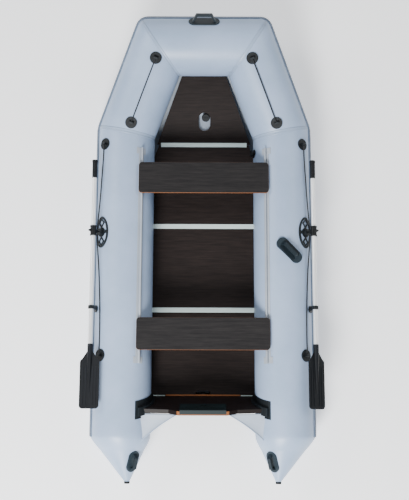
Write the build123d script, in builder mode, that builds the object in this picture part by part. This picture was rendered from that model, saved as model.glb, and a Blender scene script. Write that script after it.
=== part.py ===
from build123d import *
from math import atan2, cos, degrees, radians, sin, sqrt, tan
import os

# Inflatable dinghy with a mitred bow, a board floor, a raked transom, two sliding seats and two oars.
# Millimetres. +Y is towards the bow, +X is starboard, +Z is up, and z = 0 is the ground under the tubes.

os.makedirs("parts", exist_ok=True)

# ---------------------------------------------------------------- driving dimensions: the hull
hull_length = 3252.0
beam = 1540.0
tube_radius = 206.0
fabric = 1.2
knuckle_y = 847.0
bow_corner_x = 317.0
bow_rise = 244.0
cone_length = 311.0
cone_tip_radius = 18.0
cone_inset = 53.0
cone_rise = 34.0
cap_length = 16.0

fit = 0.3
seat_gap = 0.25
slide_fit = 0.8
turn_fit = 0.05

tube_x = beam / 2 - tube_radius
tube_z = tube_radius
bow_y = hull_length / 2 - tube_radius
stern_y = -hull_length / 2
taper_y = stern_y + cone_length

# ---------------------------------------------------------------- the centre line of the tubes
TAPER = Vector(tube_x, taper_y, tube_z)
KNUCKLE = Vector(tube_x, knuckle_y, tube_z)
CORNER = Vector(bow_corner_x, bow_y, tube_z + bow_rise)
FAR_CORNER = Vector(-bow_corner_x, bow_y, tube_z + bow_rise)
CONE_TIP = Vector(tube_x - cone_inset, stern_y + cap_length, tube_z + cone_rise)
overrun = 2 * tube_radius


def save(name, builder):
    """Write one finished piece as its own node."""
    builder.part.label = name
    export_step(builder.part, f"parts/{name}.step")


def save_both_sides(name, builder, port="port", starboard="starboard"):
    """Write a starboard piece and its mirror image for the port side."""
    save(f"{name}_{starboard}", builder)
    with BuildPart() as other:
        mirror(builder.part, about=Plane.YZ)
    save(f"{name}_{port}", other)


def bisector(before, at, after):
    """The mitre plane at a corner of the tube line, facing along the tube."""
    return Plane(origin=at, z_dir=((at - before).normalized() + (after - at).normalized()).normalized())


SQUARE_STERN = Plane(origin=TAPER, z_dir=(0, 1, 0))
KNUCKLE_MITRE = bisector(TAPER, KNUCKLE, CORNER)
CORNER_MITRE = bisector(KNUCKLE, CORNER, FAR_CORNER)
FAR_MITRE = bisector(CORNER, FAR_CORNER, Vector(-tube_x, knuckle_y, tube_z))

RUNS = {
    "side": (TAPER, KNUCKLE, SQUARE_STERN, KNUCKLE_MITRE),
    "bow": (KNUCKLE, CORNER, KNUCKLE_MITRE, CORNER_MITRE),
    "center": (CORNER, FAR_CORNER, CORNER_MITRE, FAR_MITRE),
}


def run_axes(run):
    """Unit vectors of a tube run: along it, outboard and up."""
    start, end, _, _ = RUNS[run]
    along = (end - start).normalized()
    outboard = Vector(along.Y, -along.X, 0).normalized()
    return along, outboard, outboard.cross(along)


def section_plane(run):
    """Cross-section plane just past the end of a run, with x outboard and y up; extrude goes back along it."""
    along, outboard, _ = run_axes(run)
    return Plane(origin=RUNS[run][1] + along * overrun, x_dir=outboard, z_dir=-along)


def run_length(run):
    return (RUNS[run][1] - RUNS[run][0]).length + 2 * overrun


def seat_plane(run, station, angle, radius=tube_radius):
    """Plane on a tube's surface: origin at an angle above the outboard side, z outwards, x along the tube."""
    along, outboard, up = run_axes(run)
    normal = outboard * cos(radians(angle)) + up * sin(radians(angle))
    return Plane(origin=RUNS[run][0] + along * station + normal * radius, x_dir=along, z_dir=normal)


def solid_run(run, radius):
    """A tube run as a full cylinder between its mitres, for cutting what fits against it."""
    with BuildPart() as full:
        with BuildSketch(section_plane(run)):
            Circle(radius)
        extrude(amount=run_length(run))
        split(bisect_by=RUNS[run][2], keep=Keep.TOP)
        split(bisect_by=RUNS[run][3], keep=Keep.BOTTOM)
    return full.part


def hull_envelope(gap):
    """Both sides and the bow of the tube ring, grown by a gap."""
    half = [solid_run("side", tube_radius + gap), solid_run("bow", tube_radius + gap)]
    other = [mirror(piece, about=Plane.YZ) for piece in half]
    return half + other + [solid_run("center", tube_radius + gap)]


def band(inner, outer, low, high):
    """Closed outline of a strip bent round the tube, in a section plane's own x and y."""
    with BuildLine() as outline:
        CenterArc((0, 0), inner, low, high - low)
        CenterArc((0, 0), outer, low, high - low)
        for edge_angle in (low, high):
            PolarLine((inner * cos(radians(edge_angle)), inner * sin(radians(edge_angle))),
                      outer - inner, edge_angle)
    return outline.line


# ================================================================ tubes
def tube_run(run):
    """Hollow fabric tube of one run, cut at its mitres."""
    with BuildPart() as tube:
        with BuildSketch(section_plane(run)):
            Circle(tube_radius)
            Circle(tube_radius - fabric, mode=Mode.SUBTRACT)
        extrude(amount=run_length(run))
        split(bisect_by=RUNS[run][2], keep=Keep.TOP)
        split(bisect_by=RUNS[run][3], keep=Keep.BOTTOM)
    return tube


save_both_sides("side_tube", tube_run("side"))
save_both_sides("bow_tube", tube_run("bow"))
save("bow_tube_center", tube_run("center"))


def cone(start_radius, tip_radius):
    """Solid stern cone between the taper and its tip."""
    with BuildPart() as body:
        with BuildSketch(Plane(origin=TAPER, z_dir=(0, 1, 0))):
            Circle(start_radius)
        with BuildSketch(Plane(origin=CONE_TIP, z_dir=(0, 1, 0))):
            Circle(tip_radius)
        loft(ruled=True)
    return body.part


with BuildPart() as stern_cone:
    add(cone(tube_radius, cone_tip_radius))
    add(cone(tube_radius - fabric, cone_tip_radius - fabric), mode=Mode.SUBTRACT)
save_both_sides("stern_cone", stern_cone)

with BuildPart() as cone_cap:
    with BuildSketch(Plane(origin=CONE_TIP, z_dir=(0, -1, 0))):
        Circle(cone_tip_radius + 2)
    extrude(amount=cap_length)
    fillet(cone_cap.edges().group_by(Axis.Y)[0], radius=cap_length / 2)
with BuildPart() as cone_caps:
    add(cone_cap.part)
    mirror(cone_cap.part, about=Plane.YZ)
save("cone_caps", cone_caps)

with BuildPart() as chamber_bulkheads:
    with BuildSketch(Plane(origin=(0, -60, tube_z), x_dir=(1, 0, 0), z_dir=(0, 1, 0))):
        with Locations((tube_x, 0), (-tube_x, 0)):
            Circle(tube_radius - fabric - fit)
    extrude(amount=fabric)
save("chamber_bulkheads", chamber_bulkheads)

# ================================================================ bottom and keel
bottom_thickness = 1.2
keel_ground_gap = 3.0
seam_angle = 60.0
floor_top = 88.0
board = 12.0
bow_slope = 0.40
floor_knuckle_y = 804.0
floor_end_y = -1023.0
transom_rake = 19.5
transom_foot_y = -1032.0

bottom_edge_x = tube_x - tube_radius * cos(radians(seam_angle))
bottom_edge_z = tube_z - tube_radius * sin(radians(seam_angle))
bow_edge_y = bow_y - tube_radius * cos(radians(seam_angle))
bow_edge_z = bottom_edge_z + bow_rise
bottom_aft_y = transom_foot_y - 110


def bottom_outline(half_width, edge_z, keel_z):
    """V-shaped strip of bottom fabric in a cross-section, x across and y up."""
    with BuildLine() as outline:
        Polyline((-half_width, edge_z), (0, keel_z), (half_width, edge_z),
                 (half_width, edge_z + bottom_thickness), (0, keel_z + bottom_thickness),
                 (-half_width, edge_z + bottom_thickness), close=True)
    return outline.line


with BuildPart() as bottom_skin:
    with BuildSketch(Plane.XZ.offset(-knuckle_y)):
        make_face(bottom_outline(bottom_edge_x, bottom_edge_z, keel_ground_gap).edges())
    extrude(amount=knuckle_y - bottom_aft_y)
    for piece in hull_envelope(0.2):
        add(piece, mode=Mode.SUBTRACT)
save("bottom_skin", bottom_skin)

bow_middle_y = (knuckle_y + bow_edge_y) / 2
with BuildPart() as bow_bottom_skin:
    for share, width_share in ((0.0, 0.0), (0.5, 0.5), (1.0, 1.0)):
        y = knuckle_y + share * (bow_edge_y - knuckle_y)
        lift = share ** 2 * (bow_edge_z - 30 - keel_ground_gap)
        half_width = bottom_edge_x + width_share * (bow_corner_x * 0.62 - bottom_edge_x)
        edge_z = bottom_edge_z + share * (bow_edge_z - bottom_edge_z)
        with BuildSketch(Plane.XZ.offset(-y)):
            make_face(bottom_outline(half_width, edge_z, keel_ground_gap + lift).edges())
    loft(ruled=True)
    for piece in hull_envelope(0.2):
        add(piece, mode=Mode.SUBTRACT)
save("bow_bottom_skin", bow_bottom_skin)

keel_half_width = 150.0
keel_top = floor_top - board - 2.6
keel_bend_y = floor_knuckle_y + 16
keel_end_y = -950.0
keel_nose_y = 1100.0
keel_wall = 1.2


def slope_z(y):
    """Height of the bow board's top above the ground."""
    return floor_top + (y - floor_knuckle_y) * bow_slope


def keel_body(shrink):
    """Flattened wedge of the inflatable keel, with a nose that rises under the bow board."""
    nose_top = slope_z(keel_nose_y) - board - 6
    sections = ((keel_bend_y, keel_half_width, keel_top, 9.0), (keel_nose_y, 55.0, nose_top, nose_top - 55))
    with BuildPart() as body:
        y, half_width, top, low = sections[0]
        with BuildSketch(Plane.XZ.offset(-y)):
            Polygon((-half_width + shrink, top - shrink), (half_width - shrink, top - shrink),
                    (half_width * 0.55, low + 22 + shrink), (0, low + shrink),
                    (-half_width * 0.55, low + 22 + shrink), align=None)
        extrude(amount=keel_bend_y - keel_end_y - shrink)
        for y, half_width, top, low in sections:
            with BuildSketch(Plane.XZ.offset(-(y - (shrink if y > keel_bend_y else 0)))):
                Polygon((-half_width + shrink, top - shrink), (half_width - shrink, top - shrink),
                        (half_width * 0.55, low + 22 + shrink), (0, low + shrink),
                        (-half_width * 0.55, low + 22 + shrink), align=None)
        loft(ruled=True)
    return body.part


with BuildPart() as keel_tube:
    add(keel_body(0.0))
    add(keel_body(keel_wall), mode=Mode.SUBTRACT)
save("keel_tube", keel_tube)

# ================================================================ floor boards and joiners
floor_half_width = 385.0
bow_joiner_half_width = 316.0
joiner_ys = (floor_knuckle_y, 185.0, -427.0)
joiner_width = 34.0
joiner_web = 3.0
joiner_wall = 2.0
board_gap = 1.0
board_end = joiner_web / 2 + board_gap
bow_angle = degrees(atan2(bow_slope, 1))
keel_valve_x = 14.0
keel_valve_y = 991.0
keel_cutout_y = 964.0
drain_cutout_width = 110.0
bow_board_length = 505.0
bow_board_tip_half = 160.0
drain_cutout_depth = 58.0


def flat_board(front, rear):
    """One flat floor board between two stations."""
    with BuildPart() as panel:
        with BuildSketch(Plane.XY.offset(floor_top - board)):
            with Locations((0, (front + rear) / 2)):
                Rectangle(2 * floor_half_width, front - rear)
        extrude(amount=board)
    return panel


with BuildPart() as front_floorboard:
    with BuildSketch(Plane.XY.offset(floor_top - board)):
        front = joiner_ys[0] - board_end
        rear = joiner_ys[1] + board_end
        Polygon((-floor_half_width, rear), (floor_half_width, rear), (floor_half_width, front - 150),
                (bow_joiner_half_width + 14, front), (-bow_joiner_half_width - 14, front),
                (-floor_half_width, front - 150), align=None)
    extrude(amount=board)
save("front_floorboard", front_floorboard)
save("middle_floorboard", flat_board(joiner_ys[1] - board_end, joiner_ys[2] + board_end))

with BuildPart() as rear_floorboard:
    add(flat_board(joiner_ys[2] - board_end, floor_end_y).part)
    with BuildSketch(Plane.XY.offset(floor_top - board)):
        with Locations((0, floor_end_y)):
            SlotOverall(drain_cutout_width, drain_cutout_depth)
    extrude(amount=board, mode=Mode.SUBTRACT)
save("rear_floorboard", rear_floorboard)

BOW_BOARD = Plane(origin=(0, floor_knuckle_y - board / 2 * sin(radians(bow_angle)),
                          floor_top - board / 2 + board / 2 * cos(radians(bow_angle))), x_dir=(1, 0, 0),
                  z_dir=(0, -sin(radians(bow_angle)), cos(radians(bow_angle))))


def along_bow_board(y):
    return (y - floor_knuckle_y) / cos(radians(bow_angle))


with BuildPart() as bow_floorboard:
    with BuildSketch(BOW_BOARD):
        Polygon((-345, board_end + 1), (345, board_end + 1), (bow_board_tip_half, bow_board_length),
                (-bow_board_tip_half, bow_board_length), align=None)
        with Locations((4, along_bow_board(keel_cutout_y))):
            SlotOverall(132, 85, rotation=90, mode=Mode.SUBTRACT)
    extrude(amount=-board)
    for piece in hull_envelope(3.0):
        add(piece, mode=Mode.SUBTRACT)
save("bow_floorboard", bow_floorboard)


def joiner(y, half_width, front_tilt):
    """H-section bar whose two slots hold the board edges; the forward half may follow the bow board."""
    middle_z = floor_top - board / 2
    slot = board / 2 + 0.15
    with BuildPart() as bar:
        with BuildSketch(Plane.YZ.offset(-half_width)):
            with Locations((y - joiner_width / 4, middle_z)):
                Rectangle(joiner_width / 2, 2 * (slot + joiner_wall))
            with Locations(Location((y, middle_z, 0), (0, 0, 1), front_tilt)):
                with Locations((joiner_width / 4, 0)):
                    Rectangle(joiner_width / 2, 2 * (slot + joiner_wall))
            with Locations((y - joiner_web / 2 - joiner_width / 4, middle_z)):
                Rectangle(joiner_width / 2, 2 * slot, mode=Mode.SUBTRACT)
            with Locations(Location((y, middle_z, 0), (0, 0, 1), front_tilt)):
                with Locations((joiner_web / 2 + joiner_width / 4, 0)):
                    Rectangle(joiner_width / 2, 2 * slot, mode=Mode.SUBTRACT)
        extrude(amount=2 * half_width)
    return bar.part


with BuildPart() as floor_joiners:
    add(joiner(joiner_ys[0], bow_joiner_half_width, bow_angle))
    add(joiner(joiner_ys[1], floor_half_width - 3, 0))
    add(joiner(joiner_ys[2], floor_half_width - 3, 0))
    for piece in hull_envelope(1.0):
        add(piece, mode=Mode.SUBTRACT)
save("floor_joiners", floor_joiners)

with BuildPart() as stringer:
    with BuildSketch(Plane.XZ.offset(-(floor_knuckle_y - 175))):
        with Locations((floor_half_width - 3, floor_top - board / 2)):
            Rectangle(12, board + 4)
        with Locations((floor_half_width - 9, floor_top - board / 2)):
            Rectangle(20, board + 0.4, mode=Mode.SUBTRACT)
    extrude(amount=floor_knuckle_y - 175 - floor_end_y)
    for y in joiner_ys[1:]:
        with Locations((floor_half_width - 9, y, floor_top - board / 2)):
            Box(30, joiner_width + 2, board + 10, mode=Mode.SUBTRACT)
with BuildPart() as floor_stringers:
    add(stringer.part)
    mirror(stringer.part, about=Plane.YZ)
save("floor_stringers", floor_stringers)

# ================================================================ transom
transom_board_thickness = 28.0
transom_top_z = 420.0
transom_shoulder_z = 360.0
transom_top_half = 161.0
pad_half_width = 156.0
pad_low_z = 291.0
pad_thickness = 10.0
pad_cap = 5.0
outer_pad_thickness = 6.0
drain_z = 48.0
drain_hole_radius = 15.0
drain_bore_radius = 10.0

TRANSOM = Plane(origin=(0, transom_foot_y, floor_top), x_dir=(-1, 0, 0),
                z_dir=(0, cos(radians(transom_rake)), sin(radians(transom_rake))))
rake_cos = cos(radians(transom_rake))


def up_face(z):
    """Distance up the transom's inner face from the floor line to a height."""
    return (z - floor_top) / rake_cos


def transom_outline(gap):
    """Transom board outline in its own plane, grown by a gap."""
    wide = tube_x - 96
    with BuildLine() as outline:
        Polyline((0, up_face(15) - gap), (wide, up_face(40) - gap), (wide, up_face(transom_shoulder_z) + gap),
                 (transom_top_half + 70, up_face(transom_shoulder_z + 22) + gap),
                 (transom_top_half, up_face(transom_top_z) + gap), (-transom_top_half, up_face(transom_top_z) + gap),
                 (-transom_top_half - 70, up_face(transom_shoulder_z + 22) + gap),
                 (-wide, up_face(transom_shoulder_z) + gap), (-wide, up_face(40) - gap), close=True)
    return outline.line


with BuildPart() as transom_board:
    with BuildSketch(TRANSOM):
        make_face(transom_outline(0).edges())
        with Locations((0, up_face(drain_z))):
            Circle(drain_hole_radius, mode=Mode.SUBTRACT)
    extrude(amount=-transom_board_thickness)
    for piece in hull_envelope(fit):
        add(piece, mode=Mode.SUBTRACT)
save("transom_board", transom_board)

with BuildPart() as transom_clearance:
    with BuildSketch(TRANSOM.offset(fit)):
        make_face(transom_outline(fit).edges())
    extrude(amount=-transom_board_thickness - 2 * fit)

with BuildPart() as inner_motor_pad:
    with BuildSketch(TRANSOM):
        with Locations((0, (up_face(pad_low_z) + up_face(transom_top_z)) / 2)):
            RectangleRounded(2 * pad_half_width, up_face(transom_top_z) - up_face(pad_low_z), 8)
    extrude(amount=pad_thickness)
    with BuildSketch(TRANSOM.offset(pad_thickness)):
        with Locations((0, up_face(transom_top_z) + pad_cap / 2)):
            Rectangle(2 * pad_half_width, pad_cap)
    extrude(amount=-pad_thickness - 18)
    with BuildSketch(TRANSOM.offset(pad_thickness)):
        with Locations((0, up_face(transom_top_z) - 46)):
            Rectangle(2 * pad_half_width - 24, 6)
    extrude(amount=3)
    with BuildSketch(TRANSOM.offset(pad_thickness - 4)):
        with Locations((0, up_face(transom_top_z) - 92)):
            SlotOverall(46, 20)
    extrude(amount=4, mode=Mode.SUBTRACT)
save("inner_motor_pad", inner_motor_pad)

with BuildPart() as outer_motor_pad:
    with BuildSketch(TRANSOM.offset(-transom_board_thickness)):
        with Locations((0, up_face(transom_top_z) - 130)):
            RectangleRounded(260, 190, 12)
    extrude(amount=-outer_pad_thickness)
save("outer_motor_pad", outer_motor_pad)

with BuildPart() as drain_body:
    with BuildSketch(TRANSOM):
        with Locations((0, up_face(drain_z))):
            Circle(24)
    extrude(amount=4)
    with BuildSketch(TRANSOM):
        with Locations((0, up_face(drain_z))):
            Circle(drain_hole_radius - 0.05)
    extrude(amount=-transom_board_thickness)
    with BuildSketch(TRANSOM.offset(-transom_board_thickness)):
        with Locations((0, up_face(drain_z))):
            Circle(22)
    extrude(amount=-3)
    with BuildSketch(TRANSOM.offset(10)):
        with Locations((0, up_face(drain_z))):
            Circle(drain_bore_radius)
    extrude(amount=-transom_board_thickness - 20, mode=Mode.SUBTRACT)
save("drain_body", drain_body)

with BuildPart() as drain_plug:
    with BuildSketch(TRANSOM.offset(4 + turn_fit)):
        with Locations((0, up_face(drain_z))):
            Circle(15)
    extrude(amount=5)
    with BuildSketch(TRANSOM.offset(4 + turn_fit)):
        with Locations((0, up_face(drain_z))):
            Circle(drain_bore_radius - turn_fit)
    extrude(amount=-24)
    with BuildSketch(TRANSOM.offset(9 + turn_fit)):
        with Locations((0, up_face(drain_z))):
            SlotOverall(24, 6)
    extrude(amount=7)
save("drain_plug", drain_plug)

holder_low = 122.0
holder_high = 212.0
holder_lip = 13.0


def holder_strip(outer, low, high, ahead, behind):
    """Rubber strip on the inboard side of a side tube, cut parallel to the transom."""
    with BuildPart() as strip:
        with BuildSketch(Plane(origin=(tube_x, -850, tube_z), x_dir=(1, 0, 0), z_dir=(0, -1, 0))):
            make_face(band(tube_radius + fit, outer, low, high).edges())
        extrude(amount=480)
        split(bisect_by=TRANSOM.offset(ahead), keep=Keep.BOTTOM)
        split(bisect_by=TRANSOM.offset(-transom_board_thickness - behind), keep=Keep.TOP)
    return strip.part


with BuildPart() as holder:
    add(holder_strip(tube_radius + fit + 4, holder_low, holder_high, 52, 34))
    add(holder_strip(tube_radius + 26, holder_low + 4, holder_high - 4, holder_lip, holder_lip))
    add(transom_clearance.part, mode=Mode.SUBTRACT)
with BuildPart() as transom_holders:
    add(holder.part)
    mirror(holder.part, about=Plane.YZ)
save("transom_holders", transom_holders)

knee_thickness = 1.5
knee_corner = Vector(162, transom_foot_y - 168, 380)
knee_side = Vector(440, transom_foot_y - 162, 352)
knee_tip = Vector(424, -1329, 330)
with BuildPart() as knee:
    with BuildSketch(Plane(origin=(0, 0, 0), z_dir=(0, 0, 1))) as knee_plan:
        Polygon((knee_corner.X, knee_corner.Y), (knee_side.X, knee_side.Y), (knee_tip.X, knee_tip.Y), align=None)
    extrude(amount=600)
    knee_slope = Plane(origin=knee_corner, z_dir=(knee_side - knee_corner).cross(knee_tip - knee_corner))
    if knee_slope.z_dir.Z < 0:
        knee_slope = Plane(origin=knee_corner, z_dir=-knee_slope.z_dir)
    split(bisect_by=knee_slope, keep=Keep.TOP)
    split(bisect_by=knee_slope.offset(knee_thickness), keep=Keep.BOTTOM)
    for piece in (solid_run("side", tube_radius + fit), cone(tube_radius + fit, cone_tip_radius + fit)):
        add(piece, mode=Mode.SUBTRACT)
    add(transom_clearance.part, mode=Mode.SUBTRACT)
    split(bisect_by=TRANSOM.offset(-transom_board_thickness - fit), keep=Keep.BOTTOM)
    print("knee", knee.part.volume, len(knee.part.solids()))
with BuildPart() as transom_knees:
    add(knee.part)
    mirror(knee.part, about=Plane.YZ)
save("transom_knees", transom_knees)

# ================================================================ seats and their rails
rail_angle = 126.3
rail_front_y = 690.0
rail_rear_y = -827.0
rail_base_half = 5.5
rail_base = 3.0
rail_web = 3.0
rail_bead_radius = 6.0
rail_bead_lift = 16.0
seat_length = 908.0
seat_width = 220.0
seat_thickness = 15.0
seat_corner = 22.0
seat_z = 398.0
front_seat_y = 465.0
rear_seat_y = -629.0
slider_length = 150.0
slider_radius = 11.0

rail_radius = tube_radius + rail_bead_lift
rail_x = tube_x + rail_radius * cos(radians(rail_angle))
rail_z = tube_z + rail_radius * sin(radians(rail_angle))


def across(y):
    """Cross-section plane of the starboard side tube, x outboard and y up; extrude goes aft."""
    return Plane(origin=(tube_x, y, tube_z), x_dir=(1, 0, 0), z_dir=(0, -1, 0))


def polar(radius, angle):
    return (radius * cos(radians(angle)), radius * sin(radians(angle)))


with BuildPart() as seat_rail:
    inner = tube_radius + seat_gap
    with BuildSketch(across(rail_front_y)):
        make_face(band(inner, inner + rail_base, rail_angle - rail_base_half, rail_angle + rail_base_half).edges())
        with Locations(Location((*polar(tube_radius + rail_bead_lift / 2 + 1, rail_angle), 0), (0, 0, 1), rail_angle)):
            Rectangle(rail_bead_lift - 2, rail_web)
        with Locations(polar(rail_radius, rail_angle)):
            Circle(rail_bead_radius)
    extrude(amount=rail_front_y - rail_rear_y)
    for end_y in (rail_front_y, rail_rear_y + 45):
        with BuildSketch(across(end_y)):
            make_face(band(inner, inner + rail_base, rail_angle - 10, rail_angle + 10).edges())
        extrude(amount=45)
save_both_sides("seat_rail", seat_rail)


def seat(y):
    with BuildPart() as panel:
        with BuildSketch(Plane.XY.offset(seat_z)):
            with Locations((0, y)):
                RectangleRounded(seat_length, seat_width, seat_corner)
        extrude(amount=seat_thickness)
        fillet(panel.edges().group_by(Axis.Z)[-1], radius=2.5)
    return panel


def seat_sliders(y):
    """C-shaped plastic guides under both ends of a seat, running on the rail beads."""
    with BuildPart() as one:
        with BuildSketch(across(y + slider_length / 2)):
            with Locations(polar(rail_radius, rail_angle)):
                Circle(slider_radius)
            with Locations((rail_x - tube_x, (rail_z + seat_z) / 2 - tube_z + 2)):
                Rectangle(24, seat_z - rail_z - 4)
            with Locations(polar(rail_radius, rail_angle)):
                Circle(rail_bead_radius + slide_fit, mode=Mode.SUBTRACT)
            with Locations(Location((*polar(rail_radius - slider_radius, rail_angle), 0), (0, 0, 1), rail_angle)):
                Rectangle(2 * slider_radius, rail_web + 2 * slide_fit, mode=Mode.SUBTRACT)
        extrude(amount=slider_length)
    with BuildPart() as both:
        add(one.part)
        mirror(one.part, about=Plane.YZ)
    return both


save("front_seat_board", seat(front_seat_y))
save("rear_seat_board", seat(rear_seat_y))
save("front_seat_sliders", seat_sliders(front_seat_y))
save("rear_seat_sliders", seat_sliders(rear_seat_y))

# ================================================================ handles
handle_base = 5.0
handle_wall = 13.0
handle_bar = 26.0


def handle_grip(plane, length, rise):
    """Raised bar on two feet, standing on a plane whose x runs along the grip."""
    stand = Plane(origin=plane.origin, x_dir=plane.x_dir, z_dir=-plane.y_dir)
    with BuildPart() as grip:
        with BuildSketch(stand):
            with BuildLine():
                Polyline((-length / 2, 2), (-length / 2 + rise * 0.5, rise), (length / 2 - rise * 0.5, rise),
                         (length / 2, 2), close=True)
            make_face()
            with BuildLine():
                Polyline((-length / 2 + handle_wall + 2, handle_base), (-length / 2 + rise * 0.5 + 9, rise - handle_wall),
                         (length / 2 - rise * 0.5 - 9, rise - handle_wall), (length / 2 - handle_wall - 2, handle_base),
                         close=True)
            make_face(mode=Mode.SUBTRACT)
        extrude(amount=handle_bar / 2, both=True)
    return grip.part


def handle(plane, base_length, base_width, grip_length, rise, under):
    """Moulded handle: a stadium base that follows the fabric under it, and a grip."""
    with BuildPart() as body:
        with BuildSketch(plane.offset(handle_base)):
            SlotOverall(base_length, base_width)
        extrude(amount=-handle_base - 24)
        for piece in under:
            add(piece, mode=Mode.SUBTRACT)
        add(handle_grip(plane, grip_length, rise))
    return body


def turned(plane, angle):
    """The same plane with its x axis turned about its normal."""
    return Plane(origin=plane.origin, z_dir=plane.z_dir,
                 x_dir=plane.x_dir * cos(radians(angle)) + plane.y_dir * sin(radians(angle)))


bow_handle_angle = 57.0
bow_handle = handle(seat_plane("center", bow_corner_x, bow_handle_angle), 218, 80, 172, 60,
                    [solid_run("center", tube_radius + seat_gap)])
save("bow_handle", bow_handle)

side_handle_y = -52.0
side_handle_angle = 82.0
side_handle = handle(turned(seat_plane("side", side_handle_y - taper_y, side_handle_angle), 45),
                     215, 83, 150, 42, [solid_run("side", tube_radius + seat_gap)])
save("side_handle", side_handle)

stern_handle_share = 0.55
stern_handle_angle = 130.0
cone_axis = CONE_TIP - TAPER
cone_radius_there = tube_radius + stern_handle_share * (cone_tip_radius - tube_radius)
cone_outward = Vector(cos(radians(stern_handle_angle)), 0, sin(radians(stern_handle_angle)))
cone_point = TAPER + cone_axis * stern_handle_share + cone_outward * cone_radius_there
cone_line = (CONE_TIP + cone_outward * cone_tip_radius - cone_point).normalized()
cone_across = Vector(-sin(radians(stern_handle_angle)), 0, cos(radians(stern_handle_angle)))
cone_normal = cone_line.cross(cone_across).normalized()
cone_normal = cone_normal if cone_normal.dot(cone_outward) > 0 else -cone_normal
STERN_HANDLE = Plane(origin=cone_point, x_dir=cone_line, z_dir=cone_normal)
stern_handle = handle(STERN_HANDLE, 150, 78, 120, 40, [cone(tube_radius + 0.2, cone_tip_radius + 0.2)])
save_both_sides("stern_handle", stern_handle)

# ================================================================ line eyes
cord_radius = 4.5
eye_disc_radius = 42.0
eye_disc = 4.0
eye_loop_width = 34.0
eye_loop_depth = 16.0
eye_loop_height = 24.0
eye_hole_lift = 13.0
eye_hole_radius = cord_radius + 1.5
eye_pocket = 8.0
eye_round = 3.5
side_eye_angle = 49.0
side_eye_front_y = 722.0
side_eye_rear_y = -772.0
bow_eye_angle = 102.0
bow_eye_low = 111.0
bow_eye_high = 592.0


def line_eye(plane, under, facing):
    """Round patch with a low bridge; the line ends in a pocket on the side that faces along the tube."""
    with BuildPart() as eye:
        with BuildSketch(plane.offset(eye_disc)):
            Circle(eye_disc_radius)
        extrude(amount=-eye_disc - 12)
        for piece in under:
            add(piece, mode=Mode.SUBTRACT)
        with BuildSketch(plane.offset(eye_disc)):
            RectangleRounded(eye_loop_depth, eye_loop_width, 3)
        extrude(amount=eye_loop_height - eye_disc)
        fillet([edge for edge in eye.edges() if plane.to_local_coords(edge.center()).Z > eye_loop_height - 0.5],
               radius=eye_round)
        mouth = Plane(origin=plane.origin + plane.z_dir * eye_hole_lift + plane.x_dir * facing * eye_loop_depth / 2,
                      z_dir=plane.x_dir * facing)
        with BuildSketch(mouth):
            Circle(eye_hole_radius)
        extrude(amount=-eye_pocket, mode=Mode.SUBTRACT)
    return eye.part


SIDE_FRONT_EYE = seat_plane("side", side_eye_front_y - taper_y, side_eye_angle)
SIDE_REAR_EYE = seat_plane("side", side_eye_rear_y - taper_y, side_eye_angle)
BOW_LOW_EYE = seat_plane("bow", bow_eye_low, bow_eye_angle)
BOW_HIGH_EYE = seat_plane("bow", bow_eye_high, bow_eye_angle)
side_under = [solid_run("side", tube_radius + seat_gap)]
bow_under = [solid_run("bow", tube_radius + seat_gap), solid_run("side", tube_radius + seat_gap)]
starboard_eyes = [line_eye(SIDE_FRONT_EYE, side_under, -1), line_eye(SIDE_REAR_EYE, side_under, 1),
                  line_eye(BOW_LOW_EYE, bow_under, 1), line_eye(BOW_HIGH_EYE, bow_under, -1)]
with BuildPart() as line_eyes:
    for piece in starboard_eyes:
        add(piece)
        mirror(piece, about=Plane.YZ)
save("line_eyes", line_eyes)

# ================================================================ grab lines and lifelines
eye_start = eye_loop_depth / 2 - eye_pocket + 0.3


def cord_tube(points, name):
    """Tube along straight runs joined by arcs as large as the runs allow."""
    radii = []
    for before, at, after in zip(points, points[1:], points[2:]):
        turn = radians((at - before).get_angle(after - at))
        radii.append(0.45 * min((at - before).length, (after - at).length) / tan(turn / 2))
    with BuildPart() as cord:
        with BuildLine() as route:
            FilletPolyline(*points, radius=radii)
        with BuildSketch(Plane(origin=points[0], z_dir=points[1] - points[0])):
            Circle(cord_radius)
        sweep(path=route.line)
    length = sum(edge.length for edge in route.edges())
    section = cord_radius ** 2 * 3.14159265
    print(name, "length", round(length), "smallest radius", round(min(radii)),
          "volume ratio", round(cord.part.volume / (section * length), 4))
    return cord


def on_bow(station, angle, lift):
    plane = seat_plane("bow", station, angle, tube_radius + lift)
    return plane.origin


def on_side(angle, y, lift):
    return seat_plane("side", y - taper_y, angle, tube_radius + lift).origin


bow_line_points = [on_bow(bow_eye_low + eye_start, bow_eye_angle, eye_hole_lift),
                   on_bow(271, bow_eye_angle - 0.3, eye_hole_lift - 1.5),
                   on_bow(432, bow_eye_angle - 0.25, eye_hole_lift - 1.8),
                   on_bow(bow_eye_high - eye_start, bow_eye_angle, eye_hole_lift)]
save_both_sides("bow_grab_line", cord_tube(bow_line_points, "bow grab line"))

# (angle on the tube, station along the boat, height over the fabric), from the front eye to the rear eye
lifeline_points = [(49.0, 722 - eye_start, 13.0), (47.9, 662, 9.0), (45.8, 570, 6.6), (43.4, 465, 7.2),
                   (41.2, 355, 7.4), (38.8, 250, 10.0), (37.0, 165, 14.5), (36.2, 83, 15.5),
                   (36.9, 0, 14.5), (38.9, -85, 10.0), (41.6, -185, 7.2), (44.2, -295, 6.8),
                   (46.4, -410, 7.0), (47.7, -520, 7.2), (48.3, -625, 7.6), (48.8, -705, 9.4),
                   (49.0, -772 + eye_start, 13.0)]
save_both_sides("lifeline", cord_tube([on_side(*point) for point in lifeline_points], "lifeline"))

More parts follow.
